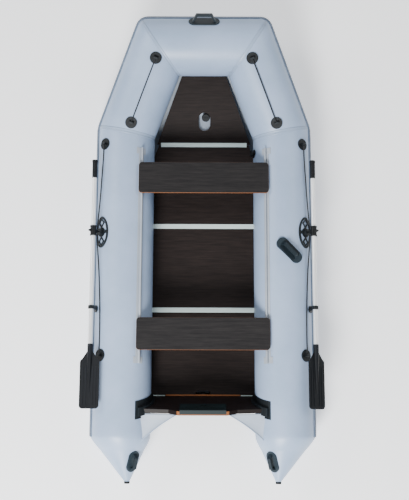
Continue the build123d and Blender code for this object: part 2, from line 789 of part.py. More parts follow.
# ================================================================ oarlocks
oarlock_y = 83.0
oarlock_angle = 45.0
oarlock_base_radius = 110.0
oarlock_base_half_width = 62.0
oarlock_ring = 15.0
oarlock_base = 4.5
hub_radius = 24.0
hub_top = 26.0
ball_lift = 18.0
ball_radius = 12.0
pin_radius = 7.0
tilt_limit = 20.0
shaft_lift = 75.0
shaft_radius = 15.5
shaft_wall = 1.6
sleeve_wall = 5.5
sleeve_length = 70.0
boss_radius = 13.0
boss_low = 45.0
flange_low = 39.0

OARLOCK = seat_plane("side", oarlock_y - taper_y, oarlock_angle)
BALL = OARLOCK.offset(ball_lift)
TRUNNION = Plane(origin=BALL.origin, x_dir=BALL.z_dir, z_dir=BALL.x_dir)
trunnion_radius = 5.0
trunnion_fit = 0.08
trunnion_length = 36.0


def tilted(angle):
    """Plane at the ball with its z turned outboard and down from the tube's normal."""
    return Plane(origin=BALL.origin, x_dir=BALL.x_dir,
                 z_dir=BALL.z_dir * cos(radians(angle)) - BALL.y_dir * sin(radians(angle)))


with BuildPart() as oarlock_shell:
    with BuildSketch(across(oarlock_y + 150)):
        Circle(tube_radius + fit + oarlock_base)
        Circle(tube_radius + fit, mode=Mode.SUBTRACT)
    extrude(amount=300)

with BuildPart() as oarlock_base_starboard:
    with BuildSketch(OARLOCK.offset(-tube_radius / 4)):
        Ellipse(oarlock_base_radius, oarlock_base_half_width)
        Ellipse(oarlock_base_radius - oarlock_ring, oarlock_base_half_width - oarlock_ring, mode=Mode.SUBTRACT)
        Circle(hub_radius + 10)
        Rectangle(22, 2 * oarlock_base_half_width - oarlock_ring)
        for quarter in (0, 180):
            with Locations(Location((0, 0, 0), (0, 0, 1), quarter)):
                Polygon((26, 0), (66, 30), (98, 0), (66, -30), align=None)
                Polygon((44, 0), (66, 16), (86, 0), (66, -16), align=None, mode=Mode.SUBTRACT)
    extrude(amount=tube_radius)
    add(oarlock_shell.part, mode=Mode.INTERSECT)
    with BuildSketch(OARLOCK.offset(1.5)):
        Circle(hub_radius)
    extrude(amount=hub_top - 1.5)
    with Locations(BALL):
        Sphere(ball_radius + 0.15, mode=Mode.SUBTRACT)
    with Locations(TRUNNION):
        Cylinder(trunnion_radius + trunnion_fit, trunnion_length + 0.6, mode=Mode.SUBTRACT)
    for step in range(6):
        with BuildSketch(tilted(step * tilt_limit / 5)):
            Circle(pin_radius + 0.6)
        extrude(amount=30, mode=Mode.SUBTRACT)
save_both_sides("oarlock_base", oarlock_base_starboard)

with BuildPart() as oarlock_pin:
    with Locations(BALL):
        Sphere(ball_radius)
    with Locations(TRUNNION):
        Cylinder(trunnion_radius, trunnion_length)
    with BuildSketch(BALL):
        Circle(pin_radius)
    extrude(amount=shaft_lift - shaft_radius - 1.5 - ball_lift)
    with BuildSketch(OARLOCK.offset(flange_low)):
        Circle(hub_radius / 2)
    extrude(amount=boss_low - flange_low - fit)
save_both_sides("oarlock_pin", oarlock_pin)

# ================================================================ oars
grip_front_y = 590.0
grip_length = 130.0
grip_radius = 18.0
blade_tip_y = -1132.0
blade_neck_y = -700.0
blade_half_width = 70.0
blade_thickness = 6.0
socket_radius = 19.0
starboard_blade_tilt = 36.0
port_blade_tilt = 15.0
shaft_tail_y = blade_neck_y - 70

SHAFT = seat_plane("side", oarlock_y - taper_y, oarlock_angle, tube_radius + shaft_lift)
shaft_x = SHAFT.origin.X
shaft_z = SHAFT.origin.Z


def shaft_section(y):
    """Plane across the shaft; x outboard and y up, extrude goes aft."""
    return Plane(origin=(shaft_x, y, shaft_z), x_dir=(1, 0, 0), z_dir=(0, -1, 0))


with BuildPart() as oar_sleeve:
    with BuildSketch(shaft_section(oarlock_y + sleeve_length / 2)):
        Circle(shaft_radius + sleeve_wall)
    extrude(amount=sleeve_length)
    with BuildSketch(OARLOCK.offset(boss_low)):
        Circle(boss_radius)
    extrude(amount=shaft_lift - boss_low)
    with BuildSketch(OARLOCK.offset(shaft_lift + shaft_radius)):
        Circle(12)
    with BuildSketch(OARLOCK.offset(shaft_lift + shaft_radius + 24)):
        Circle(6)
    loft(ruled=True)
    for ring_y in (oarlock_y + sleeve_length / 2, oarlock_y - sleeve_length / 2 + 8):
        with BuildSketch(shaft_section(ring_y)):
            Circle(shaft_radius + sleeve_wall + 2.5)
        extrude(amount=8)
    with BuildSketch(shaft_section(oarlock_y + sleeve_length)):
        Circle(shaft_radius + turn_fit)
    extrude(amount=2 * sleeve_length, mode=Mode.SUBTRACT)
    with BuildSketch(OARLOCK.offset(boss_low - 1)):
        Circle(pin_radius + turn_fit)
    extrude(amount=shaft_lift - shaft_radius - boss_low + 1 - 0.5, mode=Mode.SUBTRACT)
save_both_sides("oar_sleeve", oar_sleeve)

with BuildPart() as oar_shaft:
    with BuildSketch(shaft_section(grip_front_y - 12)):
        Circle(shaft_radius)
        Circle(shaft_radius - shaft_wall, mode=Mode.SUBTRACT)
    extrude(amount=grip_front_y - 12 - shaft_tail_y)
save_both_sides("oar_shaft", oar_shaft)

with BuildPart() as oar_grip:
    with BuildSketch(shaft_section(grip_front_y)):
        Circle(grip_radius)
    extrude(amount=grip_length)
    with BuildSketch(shaft_section(grip_front_y)):
        Circle(grip_radius + 2.5)
    extrude(amount=14)
    fillet(oar_grip.edges().group_by(Axis.Y)[-1], radius=5)
    with BuildSketch(shaft_section(grip_front_y - 12)):
        Circle(shaft_radius)
    extrude(amount=grip_length, mode=Mode.SUBTRACT)
save_both_sides("oar_grip", oar_grip)


blade_shoulder = 124.0
blade_corner = 24.0


def blade(side, tilt):
    """Oar blade with a socket for the shaft, a ridge and five ribs; tilt lowers its outboard edge."""
    face = Plane(origin=(side * shaft_x, blade_neck_y, shaft_z), x_dir=(0, -1, 0),
                 z_dir=(side * sin(radians(tilt)), 0, cos(radians(tilt))))
    reach = blade_neck_y - blade_tip_y
    with BuildPart() as paddle:
        with BuildSketch(face.offset(-blade_thickness / 2)):
            Polygon((40, -16), (52, -20), (blade_shoulder, -blade_half_width), (blade_shoulder, blade_half_width),
                    (52, 20), (40, 16), align=None)
            with Locations(((blade_shoulder - blade_corner + reach) / 2, 0)):
                RectangleRounded(reach - blade_shoulder + blade_corner, 2 * blade_half_width, blade_corner)
        extrude(amount=blade_thickness)
        with BuildSketch(face.offset(blade_thickness / 2)):
            for rib in (-46, -24, 24, 46):
                with Locations(((reach + 130) / 2, rib)):
                    SlotOverall(reach - 170, 7)
        extrude(amount=2.5)
        with BuildSketch(Plane(origin=face.origin, z_dir=(0, -1, 0))):
            Circle(socket_radius)
        extrude(amount=96)
        with BuildSketch(Plane(origin=face.origin + Vector(0, -96, 0), z_dir=(0, -1, 0))):
            Circle(socket_radius)
        with BuildSketch(Plane(origin=face.origin + Vector(0, -330, 0), z_dir=(0, -1, 0))):
            Circle(5)
        loft(ruled=True)
        with BuildSketch(Plane(origin=face.origin + Vector(0, 1, 0), z_dir=(0, -1, 0))):
            Circle(shaft_radius)
        extrude(amount=1 + blade_neck_y - shaft_tail_y, mode=Mode.SUBTRACT)
    return paddle


save("oar_blade_starboard", blade(1, starboard_blade_tilt))
save("oar_blade_port", blade(-1, port_blade_tilt))

# ================================================================ oar clips
clip_y = -450.0
clip_width = 24.0
clip_base_angle = 32.0
clip_inner = shaft_radius + 0.4
clip_outer = 22.0
clip_base_radius = 25.0
CLIP_SEAT = seat_plane("side", clip_y - taper_y, clip_base_angle)

with BuildPart() as clip:
    with BuildSketch(CLIP_SEAT.offset(7)):
        Circle(clip_base_radius)
    extrude(amount=-14)
    with BuildSketch(across(clip_y + clip_width / 2)):
        with Locations(polar(tube_radius + shaft_lift, oarlock_angle)):
            Circle(clip_outer)
        foot_low = polar(tube_radius - 2, clip_base_angle - 3)
        foot_high = polar(tube_radius - 2, clip_base_angle + 4)
        under_low = polar(tube_radius + shaft_lift - clip_inner - 0.5, oarlock_angle - 3.4)
        under_high = polar(tube_radius + shaft_lift - clip_inner - 5, oarlock_angle + 1.6)
        Polygon(foot_low, under_low, under_high, foot_high, align=None)
        with Locations(polar(tube_radius + shaft_lift, oarlock_angle)):
            Circle(clip_inner, mode=Mode.SUBTRACT)
        with Locations(Location((*polar(tube_radius + shaft_lift, oarlock_angle), 0), (0, 0, 1),
                                oarlock_angle - 90)):
            Rectangle(80, 2 * clip_inner, align=(Align.MIN, Align.CENTER), mode=Mode.SUBTRACT)
        # the oar swings out of the clip about the oarlock's ball
        pivot = Vector(*polar(tube_radius + ball_lift, oarlock_angle))
        for step in range(1, 7):
            lean = radians(oarlock_angle - step * tilt_limit / 6)
            with Locations(pivot + Vector(cos(lean), sin(lean)) * (shaft_lift - ball_lift)):
                Circle(clip_inner, mode=Mode.SUBTRACT)
    extrude(amount=clip_width)
    add(solid_run("side", tube_radius + seat_gap), mode=Mode.SUBTRACT)
with BuildPart() as oar_clips:
    add(clip.part)
    mirror(clip.part, about=Plane.YZ)
save("oar_clips", oar_clips)

# ================================================================ rub strakes
strake_low = -8.0
strake_high = 24.5
strake_thickness = 3.0
strake_rib = 2.5


def strake(run):
    """Rubbing strip on the outboard side of a run, with a raised rib at each edge and one in the middle."""
    with BuildPart() as strip:
        with BuildSketch(section_plane(run)):
            inner = tube_radius + seat_gap
            make_face(band(inner, inner + strake_thickness, strake_low, strake_high).edges())
            middle = (strake_low + strake_high) / 2
            for rib_angle in (strake_low + 1.2, middle, strake_high - 1.2):
                make_face(band(inner, inner + strake_thickness + strake_rib,
                               rib_angle - 1, rib_angle + 1).edges())
        extrude(amount=run_length(run))
        split(bisect_by=RUNS[run][2], keep=Keep.TOP)
        split(bisect_by=RUNS[run][3], keep=Keep.BOTTOM)
    return strip


with BuildPart() as rub_strake:
    add(strake("side").part)
    add(strake("bow").part)
    with BuildSketch(OARLOCK.offset(-tube_radius / 2)):
        Circle(oarlock_base_radius + 1)
    extrude(amount=tube_radius, mode=Mode.SUBTRACT)
    with BuildSketch(CLIP_SEAT.offset(-20)):
        Circle(clip_base_radius + 1)
    extrude(amount=40, mode=Mode.SUBTRACT)
save_both_sides("rub_strake", rub_strake)
save("rub_strake_bow", strake("center"))

# ================================================================ valves
valve_flange_radius = 30.0
valve_flange = 4.0
valve_neck_radius = 20.0
valve_neck = 12.0
valve_cap_radius = 25.0
valve_cap = 9.0

KEEL_VALVE = Plane(origin=BOW_BOARD.from_local_coords((keel_valve_x, along_bow_board(keel_valve_y), -board - 5.5)),
                   x_dir=(1, 0, 0), z_dir=BOW_BOARD.z_dir)
TUBE_VALVE = seat_plane("side", 686 - taper_y, 167, tube_radius + seat_gap)


def valve_body(plane, flange_radius, neck_radius, under, socket):
    with BuildPart() as body:
        with BuildSketch(plane.offset(valve_flange)):
            Circle(flange_radius)
        extrude(amount=-valve_flange - 3)
        for piece in under:
            add(piece, mode=Mode.SUBTRACT)
        with BuildSketch(plane.offset(valve_flange)):
            Circle(neck_radius)
        extrude(amount=valve_neck)
        with BuildSketch(plane.offset(valve_flange + valve_neck)):
            Circle(socket)
        extrude(amount=-valve_neck + 2, mode=Mode.SUBTRACT)
    return body


def valve_lid(plane, cap_radius, plug_radius):
    with BuildPart() as lid:
        with BuildSketch(plane.offset(valve_flange + valve_neck + turn_fit)):
            Circle(cap_radius)
            for knurl in range(12):
                with Locations(Location((0, 0, 0), (0, 0, 1), knurl * 30)):
                    with Locations((cap_radius + 0.8, 0)):
                        Circle(2.2, mode=Mode.SUBTRACT)
        extrude(amount=valve_cap)
        with BuildSketch(plane.offset(valve_flange + valve_neck + valve_cap)):
            Rectangle(cap_radius * 1.4, 5)
        extrude(amount=5)
        with BuildSketch(plane.offset(valve_flange + valve_neck + 1)):
            Circle(plug_radius)
        extrude(amount=-valve_neck + 4)
    return lid


socket = valve_neck_radius - 5
save("keel_valve_body", valve_body(KEEL_VALVE, valve_flange_radius, valve_neck_radius, [keel_body(-seat_gap)], socket))
save("keel_valve_cap", valve_lid(KEEL_VALVE, valve_cap_radius, socket - turn_fit))
save("tube_valve_body", valve_body(TUBE_VALVE, valve_flange_radius, valve_neck_radius, side_under, socket))
save("tube_valve_cap", valve_lid(TUBE_VALVE, valve_cap_radius, socket - turn_fit))
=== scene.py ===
import bmesh
import bpy
import math
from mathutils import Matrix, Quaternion, Vector, noise


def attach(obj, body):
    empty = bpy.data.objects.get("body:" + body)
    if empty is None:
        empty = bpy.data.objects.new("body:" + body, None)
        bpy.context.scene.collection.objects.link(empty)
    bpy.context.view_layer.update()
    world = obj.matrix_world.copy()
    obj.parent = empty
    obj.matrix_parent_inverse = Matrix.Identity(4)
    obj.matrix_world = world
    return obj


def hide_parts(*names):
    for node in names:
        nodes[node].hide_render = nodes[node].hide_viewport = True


# %% [markdown]
# An inflatable dinghy: a ring of air tubes in coated fabric, a floor of plywood boards in aluminium bars,
# a raked transom, two seats on rails, and oars stowed along the sides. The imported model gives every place
# and every hard part. This script gives the fabric its form, the ropes their line, and each surface its
# finish.

# %% Load the frame
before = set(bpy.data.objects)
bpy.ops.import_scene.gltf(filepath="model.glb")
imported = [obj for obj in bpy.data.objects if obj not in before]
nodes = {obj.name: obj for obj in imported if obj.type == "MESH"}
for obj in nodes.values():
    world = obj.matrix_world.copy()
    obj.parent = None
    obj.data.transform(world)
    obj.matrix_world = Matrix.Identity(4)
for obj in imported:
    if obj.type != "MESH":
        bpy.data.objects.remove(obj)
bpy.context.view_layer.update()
MM = 0.001

# %% [markdown]
# The camera comes first. It stands high above the stern and looks down and a little forward, so the boat
# fills the frame from the stern cones to the bow. Its lens is long, which keeps the tubes nearly parallel.

# %% Camera
camera_data = bpy.data.cameras.new("camera")
camera = bpy.data.objects.new("camera", camera_data)
bpy.context.scene.collection.objects.link(camera)
bpy.context.scene.camera = camera
CAMERA_PLACE = Vector((0.0075, -1.2937, 6.6824))
LOOK = Vector((0.0, 0.19411, -0.98098))
ROLL = math.radians(-0.18)
camera_data.sensor_fit = "HORIZONTAL"
camera_data.sensor_width = 36.0
camera_data.lens = 81.74
camera_data.clip_end = 60
camera.rotation_mode = "QUATERNION"
camera.rotation_quaternion = Quaternion(LOOK, ROLL) @ LOOK.to_track_quat("-Z", "Y")
camera.location = CAMERA_PLACE
print("camera", tuple(round(c, 3) for c in camera.location))

# %% [markdown]
# The lines that a swimmer grabs are cords of a known length, held at both ends. Each is a smooth spline
# through the same points as the model's plain tube. A point is given by its angle on the air tube, its
# station along the boat and its height above the fabric, because that is how the rope lies on the boat.

# %% Tube geometry shared by the fabric and the ropes
TUBE_RADIUS = 0.206
TUBE_X = 0.77 - TUBE_RADIUS
TUBE_Z = TUBE_RADIUS
TAPER = Vector((TUBE_X, -1.315, TUBE_Z))
KNUCKLE = Vector((TUBE_X, 0.847, TUBE_Z))
BOW_RISE = 0.244
CORNER = Vector((0.317, 1.42, TUBE_Z + BOW_RISE))
CONE_TIP = Vector((TUBE_X - 0.053, -1.61, TUBE_Z + 0.034))
CONE_TIP_RADIUS = 0.018
CORD_RADIUS = 0.0045


def mirrored(point):
    return Vector((-point.x, point.y, point.z))


def on_tube(start, end, station, angle, lift):
    """A point over a tube's fabric: station metres past its start, angle above its outboard side."""
    along = (end - start).normalized()
    outboard = Vector((along.y, -along.x, 0)).normalized()
    upward = outboard.cross(along)
    reach = TUBE_RADIUS + lift
    return start + along * station + (outboard * math.cos(math.radians(angle))
                                      + upward * math.sin(math.radians(angle))) * reach


# %% The ropes
def rope(name, points):
    """One rope: a spline of order 3 with a round section, riding on the hull."""
    curve = bpy.data.curves.new(name, "CURVE")
    curve.dimensions = "3D"
    spline = curve.splines.new("NURBS")
    spline.points.add(len(points) - 1)
    for knot, point in zip(spline.points, points):
        knot.co = (*point, 1)
    spline.order_u = 3
    spline.use_endpoint_u = True
    spline.resolution_u = 10
    curve.bevel_depth = CORD_RADIUS
    curve.bevel_resolution = 4
    piece = bpy.data.objects.new(name, curve)
    bpy.context.scene.collection.objects.link(piece)
    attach(piece, "hull")
    return piece


# (angle, station along the boat in mm, height in mm), from the front eye to the rear eye
LIFELINE = [(49.0, 721.7, 13.0), (47.9, 662, 9.0), (45.8, 570, 6.6), (43.4, 465, 7.2),
            (41.2, 355, 7.4), (38.8, 250, 10.0), (37.0, 165, 14.5), (36.2, 83, 15.5),
            (36.9, 0, 14.5), (38.9, -85, 10.0), (41.6, -185, 7.2), (44.2, -295, 6.8),
            (46.4, -410, 7.0), (47.7, -520, 7.2), (48.3, -625, 7.6), (48.8, -705, 9.4),
            (49.0, -771.7, 13.0)]
# (station along the bow tube in mm, angle, height in mm)
BOW_LINE = [(111.3, 102.0, 13.0), (271, 101.7, 11.5), (432, 101.75, 11.2), (591.7, 102.0, 13.0)]

ropes = []
for side in ("starboard", "port"):
    flip = mirrored if side == "port" else (lambda point: point)
    life = [flip(on_tube(TAPER, KNUCKLE, y * MM - TAPER.y, angle, lift * MM)) for angle, y, lift in LIFELINE]
    grab = [flip(on_tube(KNUCKLE, CORNER, station * MM, angle, lift * MM))
            for station, angle, lift in BOW_LINE]
    for stem, route, length in (("lifeline", life, 1.498), ("bow_grab_line", grab, 0.480)):
        piece = rope(f"{stem}_{side}_rope", route)
        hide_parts(f"{stem}_{side}")
        ropes.append(piece)
print("ropes", len(ropes))

# %% [markdown]
# Studio: a pale floor, one strong soft light from high astern and three weak ones round the boat. The tops
# of the tubes are then bright, their sides fall off, and nothing glares in the flat boards.

# %% Floor and lights
def area_light(name, place, size, power, aim=Vector((0, 0, 0))):
    lamp = bpy.data.lights.new(name, "AREA")
    lamp.shape = "SQUARE"
    lamp.size = size
    lamp.energy = power
    holder = bpy.data.objects.new(name, lamp)
    holder.location = place
    holder.rotation_euler = (aim - Vector(place)).to_track_quat("-Z", "Y").to_euler()
    bpy.context.scene.collection.objects.link(holder)
    return holder


area_light("key_astern", (-1.8, -5.8, 5.6), 2.6, 1250)
area_light("from_port", (-4.6, 2.2, 5.2), 3.0, 170)
area_light("from_starboard", (4.6, 2.2, 5.2), 3.0, 100)
area_light("from_ahead", (0.0, 6.2, 3.0), 3.0, 60)
world = bpy.data.worlds.new("studio")
bpy.context.scene.world = world
world.use_nodes = True
world.node_tree.nodes["Background"].inputs["Color"].default_value = (0.95, 0.97, 1.0, 1)
world.node_tree.nodes["Background"].inputs["Strength"].default_value = 0.4

# %% [markdown]
# Colours are written as sRGB hex, the way a colour picker shows them, and one function turns them linear.
# A second small function adds a shader node with its settings and links, so that each material reads as a
# short list of what happens to the surface.

# %% Helpers for materials
def colour(hex_text):
    """sRGB hex to linear RGBA."""
    parts = [int(hex_text[i:i + 2], 16) / 255 for i in (1, 3, 5)]
    return (*[c / 12.92 if c <= 0.04045 else ((c + 0.055) / 1.055) ** 2.4 for c in parts], 1)


def node(tree, kind, settings=None, **links):
    """Add a node; settings set its properties or inputs, links name input=value or input=other socket."""
    made = tree.nodes.new(kind)
    for key, value in (settings or {}).items():
        if key in made.inputs:
            made.inputs[key].default_value = value
        else:
            setattr(made, key, value)
    for key, source in links.items():
        socket = made.inputs[int(key[1:]) if key[0] == "i" and key[1:].isdigit() else key]
        tree.links.new(source, socket)
    return made


def material(name, **inputs):
    """A principled material and its tree; inputs are set on the shader's own sockets."""
    made = bpy.data.materials.new(name)
    made.use_nodes = True
    shader = made.node_tree.nodes["Principled BSDF"]
    for key, value in inputs.items():
        shader.inputs[key.replace("_", " ")].default_value = value
    return made, made.node_tree, shader


def object_place(tree):
    return node(tree, "ShaderNodeTexCoord").outputs["Object"]


def blend_colour(tree, share, low, high):
    """Mix two colours by a share; low and high are hex text or sockets."""
    mix = node(tree, "ShaderNodeMix", {"data_type": "RGBA"})
    tree.links.new(share, mix.inputs[0])
    for index, value in ((6, low), (7, high)):
        if isinstance(value, str):
            mix.inputs[index].default_value = colour(value)
        else:
            tree.links.new(value, mix.inputs[index])
    return mix.outputs[2]


def span(tree, value, low, high, out_low=0.0, out_high=1.0):
    """Map a range of values to another, clamped."""
    return node(tree, "ShaderNodeMapRange",
                {"From Min": low, "From Max": high, "To Min": out_low, "To Max": out_high},
                Value=value).outputs["Result"]


def bump(tree, shader, height, distance, strength=1.0, under=None):
    made = node(tree, "ShaderNodeBump", {"Distance": distance, "Strength": strength}, Height=height)
    if under:
        tree.links.new(under, made.inputs["Normal"])
    tree.links.new(made.outputs["Normal"], shader.inputs["Normal"])
    return made.outputs["Normal"]


# %% [markdown]
# The tubes are PVC-coated polyester. The coating is calendered, so it is smooth and satin, and the cloth
# under it shows as a fine square weave. Real threads are 0.5 mm apart; here they are drawn 4 mm apart,
# because finer ones would not show from where the boat is seen whole. Handling leaves faint cloudy patches.

# %% Coated fabric
WEAVE_PITCH = 0.004


def coated_fabric(name, light, dark, roughness=0.42):
    made, tree, shader = material(name, Roughness=roughness, Coat_Weight=0.12, Coat_Roughness=0.3)
    place = object_place(tree)
    clouds = node(tree, "ShaderNodeTexNoise", {"Scale": 3.2, "Detail": 5.0, "Roughness": 0.6}, Vector=place)
    share = span(tree, clouds.outputs["Fac"], 0.35, 0.68)
    tree.links.new(blend_colour(tree, share, dark, light), shader.inputs["Base Color"])
    slack = node(tree, "ShaderNodeTexNoise", {"Scale": 7.0, "Detail": 2.0}, Vector=place)
    soft = node(tree, "ShaderNodeBump", {"Distance": 0.004, "Strength": 0.35}, Height=slack.outputs["Fac"])
    weave = node(tree, "ShaderNodeTexVoronoi",
                 {"Scale": 1 / WEAVE_PITCH, "distance": "CHEBYCHEV", "Randomness": 0.15}, Vector=place)
    bump(tree, shader, weave.outputs["Distance"], 0.0004, 0.5, soft.outputs["Normal"])
    rough = span(tree, clouds.outputs["Fac"], 0.3, 0.7, roughness - 0.06, roughness + 0.08)
    tree.links.new(rough, shader.inputs["Roughness"])
    return made


TUBE_FABRIC = coated_fabric("pvc_coated_fabric", "#9fb2ce", "#94a8c3")
SEAM_FABRIC = coated_fabric("pvc_seam_tape", "#95a7c0", "#8c9eb7", 0.38)
BOTTOM_FABRIC = coated_fabric("pvc_bottom_fabric", "#8d97a2", "#828d98")
KNEE_FABRIC = coated_fabric("pvc_knee_fabric", "#a9b6c6", "#9fabbb")
RAIL_RUBBER = coated_fabric("welded_seat_rail", "#a9b1ba", "#99a1ab", 0.5)

# %% [markdown]
# The rubbing strake is extruded rubber: a darker blue-grey than the tubes, dull, with scuffs where the boat
# has lain against a jetty. The scuffs are pale and follow a stretched noise along the boat.

# %% Strake rubber
def strake_rubber():
    made, tree, shader = material("extruded_strake_rubber", Roughness=0.6)
    place = object_place(tree)
    stretched = node(tree, "ShaderNodeMapping", {"Scale": (1.0, 0.25, 1.0)}, Vector=place)
    scuff = node(tree, "ShaderNodeTexNoise", {"Scale": 60.0, "Detail": 6.0},
                 Vector=stretched.outputs["Vector"])
    share = span(tree, scuff.outputs["Fac"], 0.55, 0.72)
    tree.links.new(blend_colour(tree, share, "#55657a", "#78889b"), shader.inputs["Base Color"])
    bump(tree, shader, scuff.outputs["Fac"], 0.0006, 0.5)
    return made


STRAKE = strake_rubber()

# %% [markdown]
# The boards are birch plywood with a phenolic film. The film is nearly black-brown with a pressed wire-mesh
# grip pattern, here 7 mm between wires. Where a board is cut, its thin plies show as copper-brown layers,
# so the material asks which way the surface faces: away from the board's face means a cut edge.

# %% Film-faced plywood
GRIP_WIRE_PITCH = 0.007


def plywood(name, face, film_dark, film_light, bare_half=9.0, ply_gap=0.0022):
    made, tree, shader = material(name, Roughness=0.5, Specular_IOR_Level=0.12, Coat_Weight=0.03,
                                  Coat_Roughness=0.35)
    coordinates = node(tree, "ShaderNodeTexCoord")
    place = coordinates.outputs["Object"]
    facing = node(tree, "ShaderNodeVectorMath", {"operation": "DOT_PRODUCT"})
    tree.links.new(coordinates.outputs["Normal"], facing.inputs[0])
    facing.inputs[1].default_value = face
    away = node(tree, "ShaderNodeMath", {"operation": "ABSOLUTE"})
    tree.links.new(facing.outputs["Value"], away.inputs[0])
    is_face = span(tree, away.outputs[0], 0.45, 0.75)
    depth = node(tree, "ShaderNodeVectorMath", {"operation": "DOT_PRODUCT"})
    tree.links.new(place, depth.inputs[0])
    depth.inputs[1].default_value = face
    layers = node(tree, "ShaderNodeMath", {"operation": "PINGPONG"})
    tree.links.new(depth.outputs["Value"], layers.inputs[0])
    layers.inputs[1].default_value = ply_gap
    ply = span(tree, layers.outputs[0], ply_gap * 0.35, ply_gap * 0.65)
    bare = blend_colour(tree, ply, "#5e3822", "#a56a41")
    sideways = node(tree, "ShaderNodeSeparateXYZ", Vector=place)
    off_centre = node(tree, "ShaderNodeMath", {"operation": "ABSOLUTE"}, i0=sideways.outputs["X"])
    sealed = node(tree, "ShaderNodeMath", {"operation": "GREATER_THAN"}, i0=off_centre.outputs[0])
    sealed.inputs[1].default_value = bare_half
    edge = blend_colour(tree, sealed.outputs[0], bare, film_dark)
    grain = node(tree, "ShaderNodeMapping", {"Scale": (1.0, 14.0, 14.0)}, Vector=place)
    streak = node(tree, "ShaderNodeTexNoise", {"Scale": 7.0, "Detail": 6.0, "Roughness": 0.65},
                  Vector=grain.outputs["Vector"])
    film = blend_colour(tree, span(tree, streak.outputs["Fac"], 0.35, 0.7), film_dark, film_light)
    tree.links.new(blend_colour(tree, is_face, edge, film), shader.inputs["Base Color"])
    mesh = node(tree, "ShaderNodeTexVoronoi",
                {"Scale": 1 / GRIP_WIRE_PITCH, "distance": "CHEBYCHEV", "Randomness": 0.0}, Vector=place)
    bump(tree, shader, mesh.outputs["Distance"], 0.0007, 0.45)
    return made


RAKE = math.radians(19.5)
TRANSOM_FACE = (0.0, math.cos(RAKE), math.sin(RAKE))
SEAT_PLY = plywood("film_faced_seat_plywood", (0, 0, 1), "#1f1e1f", "#2d2b2b")
FLOOR_PLY = plywood("film_faced_floor_plywood", (0, 0, 1), "#1c1716", "#292220")
TRANSOM_PLY = plywood("film_faced_transom_plywood", TRANSOM_FACE, "#150f0e", "#221b1b", 0.175)

# %% [markdown]
# Two aluminiums: the floor bars are extruded and satin anodised, pale and slightly green; the oar shafts
# are drawn tube, brighter, with fine lines along their length from the die.

# %% Aluminium
def aluminium(name, light, dark, roughness, stretch, metallic):
    made, tree, shader = material(name, Metallic=metallic, Roughness=roughness)
    place = object_place(tree)
    drawn = node(tree, "ShaderNodeMapping", {"Scale": stretch}, Vector=place)
    lines = node(tree, "ShaderNodeTexNoise", {"Scale": 90.0, "Detail": 4.0}, Vector=drawn.outputs["Vector"])
    tree.links.new(blend_colour(tree, lines.outputs["Fac"], dark, light), shader.inputs["Base Color"])
    tree.links.new(span(tree, lines.outputs["Fac"], 0.3, 0.7, roughness - 0.07, roughness + 0.1),
                   shader.inputs["Roughness"])
    bump(tree, shader, lines.outputs["Fac"], 0.0002, 0.4)
    return made


BAR_ALUMINIUM = aluminium("anodised_floor_bar", "#e9fbf8", "#d3e6e2", 0.42, (0.05, 2.0, 2.0), 0.45)
OAR_ALUMINIUM = aluminium("drawn_oar_tube", "#ffffff", "#eef2f4", 0.36, (2.0, 0.05, 2.0), 0.6)

# %% [markdown]
# Black mouldings: the handles, eyes and oarlock bases are soft rubber, the caps and sleeves are nylon, and
# the motor pad is a dark teal plastic. Moulds are spark-etched, so each has a fine even grain. Sharp convex
# edges get a painted highlight, a lighter colour where light would catch them, and faint random patches are
# lighter too.

# %% Moulded rubber and plastic
def moulding(name, base, highlight_and_patch_colour, roughness, grain_mm, depth_mm):
    made, tree, shader = material(name, Roughness=roughness, Specular_IOR_Level=0.28)
    place = object_place(tree)
    grain = node(tree, "ShaderNodeTexNoise", {"Scale": 1000 / grain_mm, "Detail": 3.0}, Vector=place)
    patch = node(tree, "ShaderNodeTexNoise", {"Scale": 26.0, "Detail": 4.0}, Vector=place)
    edge = node(tree, "ShaderNodeNewGeometry")
    # Painted highlight: convex edges, found by pointiness, are lifted towards the lighter colour.
    painted_edge_highlight = span(tree, edge.outputs["Pointiness"], 0.53, 0.6, 0.0, 0.7)
    cloud = span(tree, patch.outputs["Fac"], 0.4, 0.75, 0.0, 0.25)
    # The lighter colour serves both the painted edge highlight and the random lighter patches.
    total = node(tree, "ShaderNodeMath", {"operation": "MAXIMUM"}, i0=painted_edge_highlight, i1=cloud)
    tree.links.new(blend_colour(tree, total.outputs[0], base, highlight_and_patch_colour), shader.inputs["Base Color"])
    bump(tree, shader, grain.outputs["Fac"], depth_mm * MM, 0.6)
    return made


BLACK_RUBBER = moulding("moulded_black_rubber", "#0c1013", "#1e252a", 0.5, 2.5, 0.3)
SLATE_RUBBER = moulding("moulded_slate_handle", "#101a20", "#233038", 0.48, 2.5, 0.3)
OAR_PLASTIC = moulding("moulded_slate_oar_plastic", "#06090e", "#13181f", 0.5, 3.0, 0.25)
PAD_PLASTIC = moulding("moulded_teal_motor_pad", "#041012", "#0d1f22", 0.62, 3.0, 0.3)
NYLON = moulding("moulded_black_nylon", "#0b0d0f", "#1d2124", 0.42, 2.0, 0.2)


# %% [markdown]
# The ropes are braided polyester. The braid is drawn as two crossing sets of fine diagonal bands, which
# catch the light like strands, at about 3 mm apart.

# %% Braided rope
def braided_rope():
    made, tree, shader = material("braided_black_polyester", Roughness=0.7)
    place = object_place(tree)
    bands = []
    for slope in ((1.0, 1.0, 1.0), (1.0, -1.0, 1.0)):
        angled = node(tree, "ShaderNodeMapping", {"Scale": slope}, Vector=place)
        wave = node(tree, "ShaderNodeTexWave",
                    {"Scale": 110.0, "bands_direction": "DIAGONAL", "Distortion": 0.6},
                    Vector=angled.outputs["Vector"])
        bands.append(wave.outputs["Fac"])
    crossed = node(tree, "ShaderNodeMath", {"operation": "MAXIMUM"}, i0=bands[0], i1=bands[1])
    tree.links.new(blend_colour(tree, crossed.outputs[0], "#07080a", "#191c20"), shader.inputs["Base Color"])
    bump(tree, shader, crossed.outputs[0], 0.0012, 0.8)
    return made


ROPE = braided_rope()
for piece in ropes:
    piece.data.materials.append(ROPE)

# %% [markdown]
# Each hard part of the model keeps its shape and gets its finish here. Names are matched by how they start.

